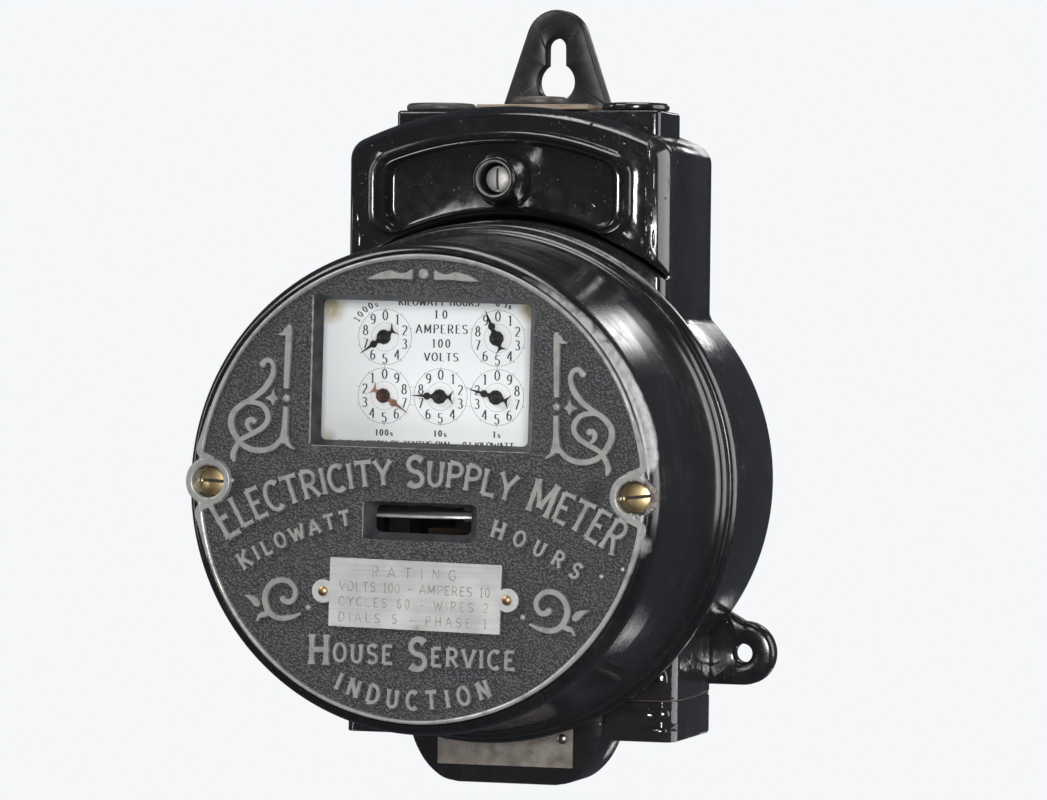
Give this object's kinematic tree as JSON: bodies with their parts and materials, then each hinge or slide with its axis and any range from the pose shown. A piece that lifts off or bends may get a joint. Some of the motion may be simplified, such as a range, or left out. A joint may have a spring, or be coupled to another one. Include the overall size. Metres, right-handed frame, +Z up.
{
  "type": "analog dial electric meter",
  "caption": "Round black wall-mounted electricity meter: drum cover with a windowed dial register, slot showing the rotor disc, terminal box with cover, and lower cable cap.",
  "frame": {"origin": "point where the drum's axis meets the back face of the case, on the wall", "axes": "+X to the right seen from the front, +Y into the wall, so the dial faces -Y, +Z up"},
  "size_m": [0.1908, 0.172, 0.2911],
  "materials": {
    "japan": "black stoving japan on cast iron, glossy, with runs and dust nibs",
    "plate_japan": "black enamel worn to grey metal on the raised work",
    "glass": "clear sheet glass",
    "brass": "lacquered brass, dulled",
    "nickel": "plated plate, dull with age",
    "rubber": "black moulded insulator",
    "fibre": "brown vulcanised fibre",
    "steel": "plain steel, lightly tarnished",
    "slate": "dark grey moulded insulation",
    "felt": "dark sealing ring",
    "paper": "white enamelled dial sheet with printed circles, satin",
    "blued": "blued steel",
    "copper": "steel heat-tempered to brown",
    "aluminium": "bright rolled sheet",
    "iron": "dark grey magnet steel and core iron",
    "winding": "cotton-covered winding",
    "copperwire": "copper strap winding with cotton wrap"
  },
  "bodies": {
    "case": {"back_case": "japan", "left_wire_bushing": "rubber", "middle_wire_bushing": "rubber", "right_wire_bushing": "rubber", "fibre_strip": "fibre", "terminal_block": "slate", "left_terminal": "brass", "middle_terminal": "brass", "right_terminal": "brass", "cover_gasket": "felt", "dial_plate": "paper", "register_front_plate": "brass", "register_back_plate": "brass", "top_bearing": "brass", "jewel_screw": "steel", "movement_frame": "iron", "brake_magnet_left": "iron", "brake_magnet_right": "iron", "laminated_core": "iron", "potential_coil": "winding", "series_coil_left": "copperwire", "series_coil_right": "copperwire"},
    "drum_cover": {"drum_cover": "japan", "front_plate": "plate_japan", "register_glass": "glass", "disc_window_glass": "glass", "glass_retainer": "brass", "name_plate": "nickel", "name_plate_pin_left": "brass", "name_plate_pin_right": "brass"},
    "cover_screw_left": {"cover_screw_left": "brass"},
    "cover_screw_right": {"cover_screw_right": "brass"},
    "terminal_cover": {"terminal_cover": "japan"},
    "terminal_cover_screw": {"terminal_cover_screw": "steel"},
    "lower_cap": {"lower_cap": "japan", "number_plate": "nickel", "number_plate_pin_left": "steel", "number_plate_pin_right": "steel"},
    "left_cap_screw": {"left_cap_screw": "steel"},
    "right_cap_screw": {"right_cap_screw": "steel"},
    "rotor": {"spindle": "steel", "disc": "aluminium"},
    "worm_wheel": {"worm_wheel": "brass"},
    "tenths": {"tenths_arbor": "brass", "tenths_pointer": "blued"},
    "units": {"units_arbor": "brass", "units_pointer": "blued"},
    "tens": {"tens_arbor": "brass", "tens_pointer": "blued"},
    "hundreds": {"hundreds_arbor": "brass", "hundreds_pointer": "copper"},
    "thousands": {"thousands_arbor": "brass", "thousands_pointer": "blued"},
    "left_terminal_screw": {"left_terminal_screw": "brass"},
    "middle_terminal_screw": {"middle_terminal_screw": "brass"},
    "right_terminal_screw": {"right_terminal_screw": "brass"}
  },
  "joints": [
    {"name": "drum_cover_lift_off", "type": "slide", "parent": "case", "child": "drum_cover", "axis": [0, -1, 0], "range_m": [0, 0.18]},
    {"name": "cover_screw_left_turn", "type": "hinge", "parent": "drum_cover", "child": "cover_screw_left", "pos_m": [-0.07829, -0.16, 0.00123], "axis": [0, -1, 0], "range_deg": [0, 8640]},
    {"name": "cover_screw_right_turn", "type": "hinge", "parent": "drum_cover", "child": "cover_screw_right", "pos_m": [0.07829, -0.16, -0.00123], "axis": [0, -1, 0], "range_deg": [0, 8640]},
    {"name": "terminal_cover_lift_off", "type": "slide", "parent": "case", "child": "terminal_cover", "axis": [0, -1, 0], "range_m": [0, 0.05]},
    {"name": "terminal_cover_screw_turn", "type": "hinge", "parent": "terminal_cover", "child": "terminal_cover_screw", "pos_m": [0, -0.078, 0.1114], "axis": [0, -1, 0], "range_deg": [0, 7200]},
    {"name": "lower_cap_lift_off", "type": "slide", "parent": "case", "child": "lower_cap", "axis": [0, 0, -1], "range_m": [0, 0.04]},
    {"name": "left_cap_screw_turn", "type": "hinge", "parent": "lower_cap", "child": "left_cap_screw", "pos_m": [-0.055, -0.034, -0.095], "axis": [0, 0, -1], "range_deg": [0, 4500]},
    {"name": "right_cap_screw_turn", "type": "hinge", "parent": "lower_cap", "child": "right_cap_screw", "pos_m": [0.055, -0.034, -0.095], "axis": [0, 0, -1], "range_deg": [0, 4500]},
    {"name": "left_terminal_screw_turn", "type": "hinge", "parent": "case", "child": "left_terminal_screw", "pos_m": [-0.0385, -0.042, 0.112], "axis": [0, -1, 0], "range_deg": [0, 2880]},
    {"name": "middle_terminal_screw_turn", "type": "hinge", "parent": "case", "child": "middle_terminal_screw", "pos_m": [0.016, -0.042, 0.112], "axis": [0, -1, 0], "range_deg": [0, 2880]},
    {"name": "right_terminal_screw_turn", "type": "hinge", "parent": "case", "child": "right_terminal_screw", "pos_m": [0.038, -0.042, 0.112], "axis": [0, -1, 0], "range_deg": [0, 2880]},
    {"name": "disc_spin", "type": "hinge", "parent": "case", "child": "rotor", "pos_m": [0, -0.1, 0], "axis": [0, 0, 1], "continuous": true},
    {"name": "worm_wheel_spin", "type": "hinge", "parent": "case", "child": "worm_wheel", "pos_m": [0.0193, -0.1, 0.0322], "axis": [0, 1, 0], "continuous": true},
    {"name": "tenths_pointer_spin", "type": "hinge", "parent": "case", "child": "tenths", "pos_m": [0.021, -0.14, 0.0531], "axis": [0, 1, 0], "continuous": true},
    {"name": "units_pointer_spin", "type": "hinge", "parent": "case", "child": "units", "pos_m": [0.021, -0.14, 0.0322], "axis": [0, 1, 0], "continuous": true},
    {"name": "tens_pointer_spin", "type": "hinge", "parent": "case", "child": "tens", "pos_m": [0, -0.14, 0.0322], "axis": [0, 1, 0], "continuous": true},
    {"name": "hundreds_pointer_spin", "type": "hinge", "parent": "case", "child": "hundreds", "pos_m": [-0.021, -0.14, 0.0322], "axis": [0, 1, 0], "continuous": true},
    {"name": "thousands_pointer_spin", "type": "hinge", "parent": "case", "child": "thousands", "pos_m": [-0.021, -0.14, 0.0531], "axis": [0, 1, 0], "continuous": true}
  ],
  "couplings": [
    {"joint": "worm_wheel_spin", "follows": "disc_spin", "ratio": -0.02},
    {"joint": "tenths_pointer_spin", "follows": "disc_spin", "ratio": 0.002},
    {"joint": "units_pointer_spin", "follows": "disc_spin", "ratio": -0.0002},
    {"joint": "tens_pointer_spin", "follows": "disc_spin", "ratio": 0.00002},
    {"joint": "hundreds_pointer_spin", "follows": "disc_spin", "ratio": -0.000002},
    {"joint": "thousands_pointer_spin", "follows": "disc_spin", "ratio": 0.0000002}
  ]
}
